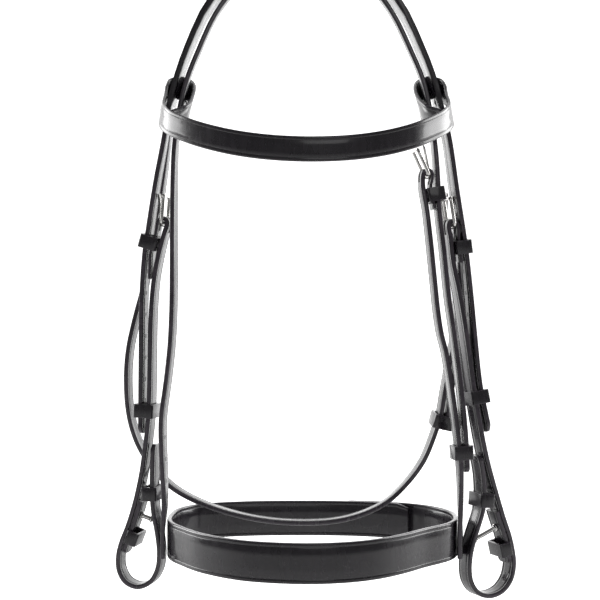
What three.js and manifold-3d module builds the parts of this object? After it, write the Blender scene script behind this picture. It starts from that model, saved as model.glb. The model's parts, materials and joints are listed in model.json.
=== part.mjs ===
// A snaffle bridle as it hangs from its poll, with its buckles undone and its billets tucked in their keepers.
// Millimetres, +Z up, +X to the horse's near side, -Y to the front. The origin is where the poll bears.
import * as THREE from "three";
import { mergeVertices } from "three/addons/utils/BufferGeometryUtils.js";
import Module from "manifold-3d";

const wasm = await Module();
wasm.setup();

// Leather
const LEATHER = 3.8; // thickness of every strap
const CROWN_LEATHER = 4.1;
const CROWN_WIDTH = 38;
const CHEEK_WIDTH = 16; // cheek billets and cheekpieces
const THROAT_WIDTH = 13;
const HEADSTRAP_WIDTH = 13; // the noseband's own headstrap and cheek strap
const BROWBAND_WIDTH = 19;
const BROWBAND_LEATHER = 3;
const NOSEBAND_WIDTH = 30;
const REAR_STRAP_WIDTH = 16; // the noseband's fastening at the back
const KEEPER_HEIGHT = 11;
const KEEPER_WALL = 2.2;
const SKIVED = 2.2; // thickness of a fold's tail, pared down

// Metal
const BAR = 2.8; // thickness of a buckle's wire
const FRAME_LENGTH = 22; // from the hinge bar's axis to the far bar's axis
const TONGUE_WIDTH = 3;
const STUD_NECK = 1.8; // radius
const STUD_HEAD = 2.9; // radius

// Clearances
const GAP = 0.4; // between two pieces that lie against each other
const EASE = 0.7; // between a keeper and what passes through it
const FRAME_EASE = 0.8; // between a buckle's side bar and the strap's edge
const EYE_EASE = 0.35; // between a tongue's eye and the hinge bar

// Heights, down from the poll
const UNDER_LAYER = LEATHER / 2 + GAP + CROWN_LEATHER / 2; // the crown's middle to the strap's under it
const CROWN_RISE = LEATHER / 2 + UNDER_LAYER; // the crown's middle above the poll
const SPLIT_Z = -118; // where the headpiece divides
const NOSEBAND_Z = -466.7; // the noseband's middle
const NOSEBAND_TOP = NOSEBAND_Z + NOSEBAND_WIDTH / 2;
const NOSEBAND_FOOT = NOSEBAND_Z - NOSEBAND_WIDTH / 2;
const BROWBAND_SLOPE = 0.42; // rise of the browband for each millimetre to the rear

// Places from front to back
const CHEEK_Y = -10.5;
const FRAME_SPACE = 2 * (FRAME_EASE + BAR) + 0.3; // between two straps, for their buckles side by side
const KEEPER_SPACE = 2 * (EASE + KEEPER_WALL) + 1.7; // and for their keepers
const FORK_GAP = Math.max(FRAME_SPACE, KEEPER_SPACE);
const THROAT_Y = CHEEK_Y + CHEEK_WIDTH / 2 + FORK_GAP + THROAT_WIDTH / 2;
const FRONT_EDGE = CHEEK_Y - CHEEK_WIDTH / 2; // of the headpiece's branches
const REAR_EDGE = THROAT_Y + THROAT_WIDTH / 2;
const LAYER = LEATHER + GAP; // from the middle of one strap to the middle of the next

const CHEEK_SWEEP = 11.5; // how far the cheeks trail to the rear by the bit loops
const THROAT_SWEEP = 11;
const TIP_ROOM = 3.4; // room in a bit keeper for the strap's tip
const SEWN = 0.9; // a strap that is sewn flat to a curved one stands off it by this at its middle
const NOSE_STRAP_Y = -9;
const NOSE_STRAP_SWEEP = -11; // the noseband's straps run forward as they come down
const BROWBAND_Z = -162; // the browband's middle at the forehead
const BROWBAND_FRONT = -100;
const LOOP_Y = -15; // where the browband's end loops begin
const LOOP_RISE = 0.25; // the loops climb more steeply than the band
const OFF_YAW = -13; // the bit loops' turn out of the front-to-back line, in degrees
const NEAR_YAW = 25;

// Buckles and the folds that hold them
const BAR_BEVEL = 0.7;
const BAR_REACH = Math.hypot(BAR / 2, BAR / 2 - BAR_BEVEL); // from a bar's axis to its corners
const EYE_WALL = 1.3;
const EYE_RADIUS = BAR_REACH + EYE_EASE + EYE_WALL;
const FOLD_REACH = BAR_REACH + GAP + LEATHER; // from the bar's axis to the outside of the fold
const SLOT = TONGUE_WIDTH + 1.4; // the slot in a fold, for the tongue
const SLOT_BELOW = 7;
const NECK_DROP = 9;
// From a fold's main layer to its tail, with a keeper's wall between them.
const KEEPER_LAYER = LEATHER / 2 + 2 * GAP + KEEPER_WALL + EASE + SKIVED / 2;
const TAIL_LAYER = (LEATHER + SKIVED) / 2 + GAP + 0.4; // main layer to the tail's end
const NOSEBAND_LAP = { x: 1.6, y: LAYER + 0.3 }; // from the noseband's inner end to the layer over it

const rad = THREE.MathUtils.degToRad;

// ---------------------------------------------------------------- materials

const leather = () => new THREE.MeshStandardMaterial({ color: 0x17141a, roughness: 0.3, metalness: 0 });
const steel = () => new THREE.MeshStandardMaterial({ color: 0xd8d6d0, roughness: 0.18, metalness: 1 });

// ---------------------------------------------------------------- solids

// A closed geometry as a solid that can be cut and joined.
function solidOf(geometry) {
  const bare = geometry.clone();
  bare.deleteAttribute("normal");
  bare.deleteAttribute("uv");
  bare.clearGroups();
  const merged = mergeVertices(bare, 1e-4);
  return new wasm.Manifold(
    new wasm.Mesh({
      numProp: 3,
      vertProperties: new Float32Array(merged.attributes.position.array),
      triVerts: new Uint32Array(merged.index.array),
    }),
  );
}

// The solid's surface as a geometry again.
function geometryOf(solid) {
  const mesh = solid.getMesh();
  const geometry = new THREE.BufferGeometry();
  geometry.setAttribute("position", new THREE.BufferAttribute(mesh.vertProperties, 3));
  geometry.setIndex(new THREE.BufferAttribute(mesh.triVerts, 1));
  return geometry;
}

// A rectangle with cut corners, centred on the origin.
function roundedRectangle(Kind, width, height, corner) {
  const x = width / 2;
  const y = height / 2;
  const outline = new Kind();
  outline.moveTo(-x + corner, -y);
  outline.lineTo(x - corner, -y);
  outline.quadraticCurveTo(x, -y, x, -y + corner);
  outline.lineTo(x, y - corner);
  outline.quadraticCurveTo(x, y, x - corner, y);
  outline.lineTo(-x + corner, y);
  outline.quadraticCurveTo(-x, y, -x, y - corner);
  outline.lineTo(-x, -y + corner);
  outline.quadraticCurveTo(-x, -y, -x + corner, -y);
  return outline;
}

// ---------------------------------------------------------------- routes

// The middle line of a strap through chosen places. Each place is [x, y, z, turn]. The turn, in degrees, takes
// the strap's width out of the front-to-back line, or out of the upright on a level strap.
class Route {
  constructor(places, level = false) {
    const points = places.map(([x, y, z]) => new THREE.Vector3(x, y, z));
    this.curve = new THREE.CatmullRomCurve3(points, false, "centripetal");
    this.turns = places.map((place) => rad(place[3] ?? 0));
    this.spans = places.length - 1;
    this.level = level; // a level strap stands on its edge: its width is upright
  }

  turnAt(t) {
    const place = Math.min(t * this.spans, this.spans - 1e-9);
    const i = Math.floor(place);
    return THREE.MathUtils.lerp(this.turns[i], this.turns[i + 1], place - i);
  }

  // Where the strap is at t, the way it runs, the way its width lies and the way its outer face looks.
  frame(t) {
    const point = this.curve.getPoint(t);
    const along = this.curve.getTangent(t);
    const turn = this.turnAt(t);
    const across = this.level
      ? new THREE.Vector3(Math.sin(turn), 0, Math.cos(turn))
      : new THREE.Vector3(-Math.sin(turn), Math.cos(turn), 0);
    across.addScaledVector(along, -across.dot(along)).normalize();
    return { point, along, across, face: along.clone().cross(across) };
  }

  // The first t at which the route passes a height, or a distance along another axis.
  reach(value, from = 0, axis = "z") {
    const steps = 2000;
    const start = this.curve.getPoint(from)[axis] > value;
    for (let i = Math.ceil(from * steps); i <= steps; i += 1) {
      if (this.curve.getPoint(i / steps)[axis] > value !== start) return i / steps;
    }
    throw new Error("the route never reaches " + value);
  }
}

function placeAt(route, value, from = 0, axis = "z") {
  return route.frame(route.reach(value, from, axis));
}

// A strap is a long flat box bent along its route, with narrowed tips.
function strapGeometry(route, width, { from = 0, to = 1, steps = 4, thick = LEATHER, tips = [1, 1] } = {}) {
  const thickness = typeof thick === "function" ? thick : () => thick;
  const count = Math.max(2, Math.round(route.spans * steps * (to - from)));
  const geometry = new THREE.BoxGeometry(1, 1, 1, count, 1, 1);
  const place = geometry.attributes.position;
  for (let i = 0; i < place.count; i += 1) {
    const share = place.getX(i) + 0.5;
    const t = THREE.MathUtils.lerp(from, to, share);
    const { point, across, face } = route.frame(t);
    const tip = share < 1e-6 ? tips[0] : share > 1 - 1e-6 ? tips[1] : 1;
    point.addScaledVector(across, place.getY(i) * width * tip);
    point.addScaledVector(face, place.getZ(i) * thickness(t));
    place.setXYZ(i, point.x, point.y, point.z);
  }
  return geometry;
}

// The placing matrix with three axes at right angles.
const basis = (point, x, y, z) => new THREE.Matrix4().makeBasis(x, y, z).setPosition(point);

// ---------------------------------------------------------------- the scene graph

const bridle = new THREE.Group();

function add(name, geometry, material, matrix) {
  const mesh = new THREE.Mesh(geometry, material);
  mesh.name = name;
  if (matrix) matrix.decompose(mesh.position, mesh.quaternion, mesh.scale);
  bridle.add(mesh);
  return mesh;
}

// ---------------------------------------------------------------- where the straps hang

const fall = (z, top, bottom) => THREE.MathUtils.clamp((top - z) / (top - bottom), 0, 1);

const cheekY = (z) => CHEEK_Y + CHEEK_SWEEP * fall(z, SPLIT_Z, -430);
const throatY = (z) => THROAT_Y + THROAT_SWEEP * fall(z, SPLIT_Z, -400);
const noseY = (z) => NOSE_STRAP_Y * fall(z, -4, -60) + NOSE_STRAP_SWEEP * fall(z, -60, -240);
const browZ = (y) => BROWBAND_Z + BROWBAND_SLOPE * (y - BROWBAND_FRONT) + LOOP_RISE * Math.max(0, y - LOOP_Y);

const OFF = -1;
const NEAR = 1;

// A place moved across a strap that leans from the upright towards +X, out along +X or up along its run.
function shifted([x, y, z, yaw = 0], lean, out, up = 0) {
  const level = out * Math.cos(rad(lean)) + up * Math.sin(rad(lean));
  const rise = up * Math.cos(rad(lean)) - out * Math.sin(rad(lean));
  return [x + level * Math.cos(rad(yaw)), y + level * Math.sin(rad(yaw)), z + rise, yaw];
}

// The end of a strap folded over a buckle's bar: the main layer rises on the main side, the tail comes down
// the other side, past the keeper sewn between the layers, and ends beside the main layer's last places.
function folded(bar, lean, mainSide, lasts) {
  const radius = BAR_REACH + GAP + LEATHER / 2;
  const half = Math.SQRT1_2 * radius;
  const neck = shifted(bar, lean, (mainSide * KEEPER_LAYER) / 2, -NECK_DROP);
  const tails = lasts.map((last, i) => shifted(last, lean, -mainSide * (i ? TAIL_LAYER : KEEPER_LAYER)));
  return [
    neck,
    shifted(bar, lean, mainSide * radius),
    shifted(bar, lean, mainSide * half, half),
    shifted(bar, lean, 0, radius),
    shifted(bar, lean, -mainSide * half, half),
    shifted(bar, lean, -mainSide * radius),
    shifted(neck, lean, -mainSide * KEEPER_LAYER),
    ...tails,
  ];
}

// A folded strap's thickness at t: whole up to the fold, then pared down to the tail.
function skived(route, tailSpans) {
  const fold = (route.spans - tailSpans) / route.spans;
  return (t) => THREE.MathUtils.lerp(LEATHER, SKIVED, THREE.MathUtils.clamp((t - fold) / (1 - fold) * 2, 0, 1));
}

// ---------------------------------------------------------------- buckles and keepers

// Where a buckle hinges: its bar, the strap's lean there, and which way the frame and the tongue lie.
function buckleAt(bar, strapLean, frameLean, tongueLean, width) {
  const [x, y, z, yaw = 0] = bar;
  const toward = (lean) => {
    const [a, b, c] = shifted(bar, lean, 0, 1);
    return new THREE.Vector3(a - x, b - y, c - z).normalize();
  };
  return {
    point: new THREE.Vector3(x, y, z),
    across: new THREE.Vector3(-Math.sin(rad(yaw)), Math.cos(rad(yaw)), 0),
    up: toward(strapLean),
    frame: toward(frameLean),
    tongue: toward(tongueLean),
    width,
  };
}

// The slot cut through a fold so the tongue can swing.
function slotAt({ point, across, up }) {
  const depth = 2 * FOLD_REACH + 3;
  const height = SLOT_BELOW + FOLD_REACH + 2;
  const slot = new THREE.BoxGeometry(SLOT, depth, height);
  slot.translate(0, 0, height / 2 - SLOT_BELOW);
  const out = up.clone().cross(across);
  return solidOf(slot.applyMatrix4(new THREE.Matrix4().makeBasis(across, out, up).setPosition(point)));
}

// A rectangular frame of bevelled wire, with its hinge bar on the axis.
function frameGeometry(width) {
  const inner = width + 2 * FRAME_EASE;
  const shape = roundedRectangle(THREE.Shape, inner + 2 * BAR, FRAME_LENGTH + BAR, 3.2);
  shape.holes.push(roundedRectangle(THREE.Path, inner, FRAME_LENGTH - BAR, 1.2));
  const geometry = new THREE.ExtrudeGeometry(shape, {
    depth: BAR - 2 * BAR_BEVEL,
    bevelThickness: BAR_BEVEL,
    bevelSize: BAR_BEVEL,
    bevelOffset: -BAR_BEVEL,
    bevelSegments: 1,
    curveSegments: 3,
  });
  return geometry.translate(0, FRAME_LENGTH / 2, BAR_BEVEL - BAR / 2);
}

// A flat prong with an eye that turns on the hinge bar; it lies over the frame's far bar.
function tongueGeometry() {
  const floor = BAR / 2 + 0.2;
  const length = FRAME_LENGTH + BAR / 2 + 0.6;
  const start = Math.sqrt(EYE_RADIUS ** 2 - floor ** 2);
  const shape = new THREE.Shape();
  shape.moveTo(0, EYE_RADIUS);
  shape.absarc(0, 0, EYE_RADIUS, Math.PI / 2, 2 * Math.PI + Math.atan2(floor, start), false);
  shape.lineTo(length, floor);
  shape.lineTo(length, floor + 0.9);
  shape.lineTo(length - 2, EYE_RADIUS);
  shape.closePath();
  const eye = new THREE.Path();
  eye.absarc(0, 0, BAR_REACH + EYE_EASE, 0, 2 * Math.PI, true);
  shape.holes.push(eye);
  const geometry = new THREE.ExtrudeGeometry(shape, {
    depth: TONGUE_WIDTH,
    bevelEnabled: false,
    curveSegments: 14,
  });
  return geometry.translate(0, 0, -TONGUE_WIDTH / 2);
}

// Both halves of a buckle. tongueSide is +1 where the tongue lies on the frame's +X side.
function addBuckle(name, buckle, tongueSide) {
  const { point, across, frame, tongue, width } = buckle;
  const flat = across.clone().cross(frame);
  add(name + "_frame", frameGeometry(width), steel(), basis(point, across, frame, flat));
  const over = across.clone().cross(tongue).normalize();
  if (Math.sign(over.x) !== tongueSide) over.negate();
  add(name + "_tongue", tongueGeometry(), steel(), basis(point, tongue, over, tongue.clone().cross(over)));
}

// A band round straps: it reaches from low to high across their faces, measured from the place's own point.
function addKeeper(name, place, width, low, high, height = KEEPER_HEIGHT) {
  const across = width + 2 * EASE;
  const deep = high - low + 2 * EASE;
  const shape = roundedRectangle(THREE.Shape, across + 2 * KEEPER_WALL, deep + 2 * KEEPER_WALL, KEEPER_WALL);
  shape.holes.push(roundedRectangle(THREE.Path, across, deep, 0.5));
  const band = new THREE.ExtrudeGeometry(shape, { depth: height, bevelEnabled: false, curveSegments: 3 });
  band.translate(0, (low + high) / 2, -height / 2);
  add(name, band, leather(), basis(place.point, place.across, place.face, place.along));
}

// ---------------------------------------------------------------- headpiece

const crownPlaces = [
  [-109, 0, SPLIT_Z],
  [-105.5, 0, -104],
  [-95, 0, -73],
  [-75, 0, -33],
  [-41, 0, CROWN_RISE - 10],
  [0, 0, CROWN_RISE],
  [40, 0, CROWN_RISE - 10],
  [73, 0, -33],
  [93.5, 0, -73],
  [104, 0, -101.5],
  [108, 0, SPLIT_Z],
];
const crownRoute = new Route(crownPlaces);

// The throatlash: down from the headpiece's off rear branch, under the jaw and up to the near buckle.
const throatBar = [113.5, throatY(-212), -212, 4];
const throatPlaces = [
  [-109.6, throatY(-121), -121],
  [-115.5, throatY(-170), -170, -6],
  [-120, throatY(-200), -200, -8],
  [-127.5, throatY(-236), -236, -10],
  [-132, throatY(-264), -264, -12],
  [-139.5, throatY(-293), -293, -14],
  [-144.5, throatY(-316), -316, -14],
  [-146.5, throatY(-342), -342, -14],
  [-144, throatY(-374), -374, -14],
  [-134.5, throatY(-401), -401, -14],
  [-113, 24, -429, -10],
  [-85, 25.5, -445.5, -5],
  [-45, 26, -457.5],
  [-4.5, 26, -461.5],
  [33, 26, -458.5],
  [64, 25.5, -446.5],
  [82, 25, -430.5, 4],
  [97, 24, -410, 8],
  [106, 23, -388, 10],
  [111, throatY(-371), -371, 10],
  [114, throatY(-353), -353, 10],
  [118, throatY(-330), -330, 9],
  [122.5, throatY(-305), -305, 8],
  [124.5, throatY(-280), -280, 6],
  [121.8, throatY(-257), -257, 5],
  [116.6, throatY(-239), -239, 4],
];
const throatRoute = new Route([
  ...throatPlaces,
  ...folded(throatBar, -10, OFF, [throatPlaces.at(-1)]),
]);

// ---------------------------------------------------------------- browband

const browbandPlaces = [
  [-104, FRONT_EDGE - 17.5],
  [-96, FRONT_EDGE - 3.5, 12],
  [-93.5, -4, 14],
  [-94, REAR_EDGE - 7, 14],
  [-98, REAR_EDGE + 1.5, 14],
  [-104.5, REAR_EDGE + 4.5, 14],
  [-106.8 - LAYER, REAR_EDGE + 1.5, 14],
  [-110.5 - LAYER, REAR_EDGE - 7, 14],
  [-111.1 - LAYER, -4, 12],
  [-110.3 - LAYER, FRONT_EDGE - 0.5, 8],
  [-103.3 - LAYER, FRONT_EDGE - 18.5, 2],
  [-95, -53],
  [-77, -70],
  [-52, -86.5],
  [-25, -96.5],
  [4, BROWBAND_FRONT],
  [34, -96.5],
  [60, -86],
  [83, -69],
  [99, -51],
  [105.8 + LAYER, FRONT_EDGE - 16.5, -2],
  [111.8 + LAYER, FRONT_EDGE - 0.5, -8],
  [112.1 + LAYER, -4, -12],
  [111.3 + LAYER, REAR_EDGE - 7, -14],
  [106.8 + LAYER, REAR_EDGE + 1.5, -14],
  [104, REAR_EDGE + 4.5, -14],
  [97, REAR_EDGE + 1.5, -14],
  [93, REAR_EDGE - 7, -14],
  [92.5, -4, -14],
  [97, FRONT_EDGE - 3.5, -12],
  [105.5, FRONT_EDGE - 16],
];
const browbandRoute = new Route(browbandPlaces.map(([x, y, lean = 0]) => [x, y, browZ(y), lean]), true);

// ---------------------------------------------------------------- noseband

// The noseband goes once round from its inner end at the near rear, and its outer end laps over the start.
const nosebandPlaces = [
  [88, 58],
  [60, 69.5],
  [30, 75.5],
  [-13, 77],
  [-52, 73.5],
  [-88, 61],
  [-104.5, 41],
  [-109.5, 12],
  [-109.3, -14],
  [-105, -33],
  [-95, -53],
  [-78.5, -79],
  [-48, -106],
  [-18, -116.5],
  [9, -118],
  [33, -112.5],
  [54, -100.5],
  [73, -82],
  [92, -58],
  [111, -36],
  [119, -19],
  [122, 0],
  [120.5, 22],
  [112, 42],
  [90 + NOSEBAND_LAP.x, 57 + NOSEBAND_LAP.y],
  [60 + NOSEBAND_LAP.x, 69.5 + NOSEBAND_LAP.y],
  [38, 74 + NOSEBAND_LAP.y],
];
const nosebandRoute = new Route(nosebandPlaces.map(([x, y]) => [x, y, NOSEBAND_Z]), true);

// The noseband's headstrap lies under the crown, then runs down beside each cheek.
const UNDER_CROWN = [4.2, 4.8, 4.4, 1, 0, 1, 4.4, 4.8, 4.4]; // how far it hangs clear, place by place
const headstrapTop = UNDER_CROWN.map((clear, i) => {
  const { point, face } = crownRoute.frame((i + 1) / crownRoute.spans);
  point.addScaledVector(face, -(UNDER_LAYER + clear));
  return [point.x, noseY(point.z), point.z];
});
const headstrapPlaces = [
  [-109.1 - LAYER - SEWN, noseY(-479), NOSEBAND_FOOT, 5],
  [-109.1 - LAYER - SEWN, noseY(-460), NOSEBAND_TOP - 10.3, 5],
  [-112.4, noseY(-438), NOSEBAND_TOP + 13.7, -4],
  [-113.5, noseY(-404), -404, -12],
  [-114, noseY(-372), -372, -12],
  [-110, noseY(-340), -340, -12],
  [-107, noseY(-312), -312, -12],
  [-105.5, noseY(-280), -280, -12],
  [-105.2, noseY(-230), -230, -12],
  [-105.2, noseY(-190), -190, -11],
  [-104, noseY(-148), -148, -6],
  ...headstrapTop,
  [103, noseY(-149.5), -149.5, 5],
  [105, noseY(-176), -176, 7],
  [106, noseY(-204), -204, 9],
  [109.5, noseY(-236), -236, 10],
  [113.7, noseY(-276), -276, 10],
  [117.2, noseY(-300), -300, 10],
  [122, noseY(-336), -336, 10],
  [120 + LAYER, noseY(-356), -356, 10],
  [122.3 + LAYER, noseY(-380), -380, 10],
  [123.7 + LAYER, noseY(-404), -404, 10],
  [124 + LAYER, noseY(-413), -413, 10],
];
const headstrapRoute = new Route(headstrapPlaces);

// The noseband's near cheek strap, from the noseband up to its buckle.
const noseBar = [105.6 - LEATHER / 2 - KEEPER_LAYER, noseY(-176), -176, 8];
const noseStrapPlaces = [
  [118.6 + LAYER + SEWN, noseY(-479), NOSEBAND_FOOT, -10],
  [118.6 + LAYER + SEWN, noseY(-460), NOSEBAND_TOP - 10.3, -10],
  [119.5 + LAYER, noseY(-436), NOSEBAND_TOP + 15.7, 2],
  [123, noseY(-408), -408, 10],
  [121, noseY(-388), -388, 10],
  [117, noseY(-356), -356, 10],
  [111, noseY(-318), -318, 10],
  [107, noseY(-302), -302, 10],
  [104.3, noseY(-284), -284, 10],
  [102, noseY(-262), -262, 10],
  [98.8, noseY(-230), -230, 10],
  [104.4 - LEATHER / 2 - KEEPER_LAYER, noseY(-203), -203, 9],
];
for (const place of [...noseStrapPlaces, noseBar].filter(([, , z]) => z > -430)) {
  const { point } = placeAt(headstrapRoute, place[2], 0.6);
  place[1] = point.y + (place[0] - point.x) * Math.tan(rad(place[3]));
}
const noseStrapRoute = new Route([...noseStrapPlaces, ...folded(noseBar, 5, OFF, [noseStrapPlaces.at(-1)])]);

// ---------------------------------------------------------------- cheekpieces

// How far a loop's place lies behind the cheek's own line, as the loop's plane turns about the middle.
const swung = (places, middle, turn) =>
  places.map(([x, z, yaw = turn]) => {
    const share = fall(z, -344, -406);
    return [x, cheekY(z) + (x - middle) * Math.tan(rad(turn)) * share, z, yaw];
  });

const offBar = [FOLD_REACH + LEATHER / 2 - 121.7, cheekY(-214), -214, -8];
const offCheekPlaces = swung(
  [
    [-121.5, -393],
    [-122, -405],
    [-122.5, -421],
    [-122.3, -437],
    [-121.2, -449],
    [-118.2, -465],
    [-116.6, -481],
    [-118.2, -494],
    [-124, -504],
    [-134.5, -508.7],
    [-144.7, -505],
    [-150, -496],
    [-150.8, -486],
    [-148.6, -475],
    [-142.4, -459],
    [-136, -438],
    [-131, -415],
    [-128.4, -397],
    [-126, -377, -13],
    [-124.8, -356, -13],
    [-124.2, -324, -12],
    [-123, -284, -11],
    [-120.9, -260, -10],
    [-117.2, -240, -10],
  ],
  -131,
  OFF_YAW,
);
const nearBar = [125.5 - FOLD_REACH - LEATHER / 2, cheekY(-216), -216, 10];
const nearCheekPlaces = swung(
  [
    [138, -402],
    [139.8, -410],
    [141.4, -421],
    [141.8, -436.5],
    [140.5, -447],
    [137, -458],
    [132.9, -470],
    [130, -482],
    [129.2, -494],
    [131, -504],
    [137, -512.5],
    [147, -516],
    [157.5, -513],
    [164.8, -504.5],
    [167.5, -492],
    [166, -479],
    [163, -467],
    [158.2, -453],
    [153.6, -438],
    [148.8, -422],
    [144.4, -406],
    [140.6, -388.5, 24],
    [136.9, -368, 23],
    [133, -344, 22],
    [129, -312, 19],
    [126.2, -292, 17],
    [121.8, -266, 14],
    [117.8, -246, 12],
  ],
  146,
  NEAR_YAW,
);
const cheekRoutes = {
  off: new Route([
    ...offCheekPlaces,
    ...folded(offBar, 14, NEAR, [offCheekPlaces.at(-1), offCheekPlaces.at(-2)]),
  ]),
  near: new Route([...nearCheekPlaces, ...folded(nearBar, -6, OFF, [nearCheekPlaces.at(-1)])]),
};

// ---------------------------------------------------------------- the headpiece's branches

// The cheek billets: the front branches of the headpiece, each [x, z, yaw].
const cheekBilletPlaces = {
  off: [
    [-106.8, -109],
    [-109, SPLIT_Z, -1],
    [-113.5, -147.5, -4],
    [-119.5, -180, -7],
    [-125.8, -219, -9],
    [-128.8, -240, -10],
    [-131, -276, -11],
    [-131.5, -316, -12],
    [-131.8, -345, -13],
    [-132, -372, -13],
    [-132.2, -384, -13],
  ],
  near: [
    [105.8, -109],
    [108, SPLIT_Z, 2],
    [114.5, -143.5, 5],
    [121, -187.5, 8],
    [127.5, -230, 12],
    [131.8, -268, 15],
    [134.6, -300, 18],
    [139, -344, 22],
    [143, -366, 24],
    [146.5, -383, 25],
  ],
};

const upFrom = 0.5; // a place on a cheekpiece's way up, beyond its bit loop

// Places that hang from the crown, and from a height down lie level with another strap turned the same way.
function hung(places, yOf, beside, from, start) {
  return places.map(([x, z, yaw = 0]) => {
    if (z > start) return [x, yOf(z), z, yaw];
    const { point } = placeAt(beside, z, from);
    return [x, point.y + (x - point.x) * Math.tan(rad(yaw)), z, yaw];
  });
}

const cheekBillets = {
  off: new Route(hung(cheekBilletPlaces.off, cheekY, cheekRoutes.off, upFrom, -214)),
  near: new Route(hung(cheekBilletPlaces.near, cheekY, cheekRoutes.near, upFrom, -216)),
};

// The near rear branch, the throatlash's billet, lies outside the strap that it buckles to.
const throatBilletPlaces = [
  [105.8, -109],
  [108.5, SPLIT_Z, 2],
  [115, -145.5, 3],
  [119.5, -178, 4],
  [119.5 + LAYER, -208, 4],
  [115.8 + KEEPER_LAYER + TAIL_LAYER, -236, 4],
  [123 + LAYER, -258, 5],
  [125 + LAYER, -280, 6],
  [123.3 + LAYER, -304, 8],
  [119.2 + LAYER, -330, 9],
  [115.5 + LAYER, -353, 10],
  [112.8 + LAYER, -371, 10],
  [110.2 + LAYER, -384, 10],
];

const throatUpFrom = 0.45; // a place on the throatlash's way up, beyond the jaw
const throatBillet = new Route(hung(throatBilletPlaces, throatY, throatRoute, throatUpFrom, -212));

function addHeadpiece() {
  const crown = solidOf(strapGeometry(crownRoute, CROWN_WIDTH, { thick: CROWN_LEATHER, steps: 3 }));
  const tips = [1, 0.55];
  const branches = [
    strapGeometry(cheekBillets.off, CHEEK_WIDTH, { tips, steps: 3 }),
    strapGeometry(cheekBillets.near, CHEEK_WIDTH, { tips, steps: 3 }),
    strapGeometry(throatBillet, THROAT_WIDTH, { tips, steps: 3 }),
  ];
  const whole = branches.reduce((solid, branch) => solid.add(solidOf(branch)), crown);
  add("headpiece", geometryOf(whole), leather());
}

// ---------------------------------------------------------------- assembly

// Above each bit loop: how far down the stud layer runs, and the heights of the stud and the two keepers.
const bitEnds = {
  off: { side: OFF, yaw: OFF_YAW, layerTop: -438.5, layerEnd: -481, stud: -451, upper: -432.5, lower: -468 },
  near: { side: NEAR, yaw: NEAR_YAW, layerTop: -447, layerEnd: -491, stud: -461.5, upper: -438, lower: -478.5 },
};
const LOOP_BOTTOM = 0.3; // along a cheekpiece's route: the inner arm comes before it and the outer arm after

const innerArm = (name, z) => placeAt(cheekRoutes[name], z);
const outerArm = (name, z) => placeAt(cheekRoutes[name], z, LOOP_BOTTOM);

// The way a place's face looks towards the middle of the bridle.
const inward = ({ face }, side) => (Math.sign(face.x) === side ? face.clone().negate() : face.clone());

// A stud that stands on the stud layer and reaches to the strap's returned end.
function addStud(name, base, arm, side) {
  const axis = inward(base, side);
  const facing = inward(arm, side);
  const start = base.point.clone().addScaledVector(axis, LEATHER / 2 + GAP);
  const room = arm.point.clone().sub(start).dot(facing) - LEATHER / 2 - GAP - STUD_HEAD / 2;
  const length = room / axis.dot(facing);
  const flange = STUD_HEAD + 0.5;
  const profile = [
    [0, 0],
    [flange, 0],
    [flange, 0.8],
    [STUD_NECK, 1.3],
    [STUD_NECK, length - 2.6],
    [STUD_HEAD, length - 1.8],
    [STUD_HEAD, length - 0.8],
    [STUD_NECK, length],
    [0, length],
  ];
  const turned = new THREE.LatheGeometry(profile.map(([r, h]) => new THREE.Vector2(r, h)), 16);
  const stud = add(name, turned, steel());
  stud.position.copy(start);
  stud.quaternion.setFromUnitVectors(new THREE.Vector3(0, 1, 0), axis);
}

function addBitEnd(name) {
  const { side, yaw, layerTop, layerEnd, stud, upper, lower } = bitEnds[name];
  const layer = new Route(
    [0, 0.12, 0.35, 0.6, 0.82, 1].map((share) => {
      const arm = outerArm(name, THREE.MathUtils.lerp(layerEnd, layerTop, share));
      const { x, y, z } = arm.point.addScaledVector(inward(arm, side), LAYER);
      return [x, y, z, yaw];
    }),
  );
  add(name + "_stud_layer", strapGeometry(layer, CHEEK_WIDTH, { tips: [0.6, 1], steps: 3 }), leather());
  addStud(name + "_hook_stud", placeAt(layer, stud), innerArm(name, stud), side);

  const upright = innerArm(name, upper);
  const outside = Math.sign(inward(upright, side).dot(upright.face)) < 0;
  const room = [LEATHER / 2, LEATHER / 2 + TIP_ROOM];
  const [low, high] = outside ? [-room[0], room[1]] : [-room[1], room[0]];
  addKeeper(name + "_bit_upper_keeper", upright, CHEEK_WIDTH, low, high);
  addStaple(name + "_bit_lower_keeper", placeAt(layer, lower), side);
}

// A keeper whose two ends are sewn in behind the stud layer: it stands off the layer to take the strap's tip.
function addStaple(name, place, side) {
  const half = CHEEK_WIDTH / 2 + EASE;
  const deep = LEATHER + EASE + TIP_ROOM;
  const wall = KEEPER_WALL;
  const shape = new THREE.Shape();
  shape.moveTo(-half - wall, 0);
  shape.lineTo(-half, 0);
  shape.lineTo(-half, deep);
  shape.lineTo(half, deep);
  shape.lineTo(half, 0);
  shape.lineTo(half + wall, 0);
  shape.lineTo(half + wall, deep);
  shape.quadraticCurveTo(half + wall, deep + wall, half, deep + wall);
  shape.lineTo(-half, deep + wall);
  shape.quadraticCurveTo(-half - wall, deep + wall, -half - wall, deep);
  const band = new THREE.ExtrudeGeometry(shape, {
    depth: KEEPER_HEIGHT,
    bevelEnabled: false,
    curveSegments: 3,
  });
  band.translate(0, -LEATHER / 2, -KEEPER_HEIGHT / 2);
  const inside = inward(place, side);
  const across = inside.clone().cross(place.along);
  add(name, band, leather(), basis(place.point, across, inside, place.along));
}

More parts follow.
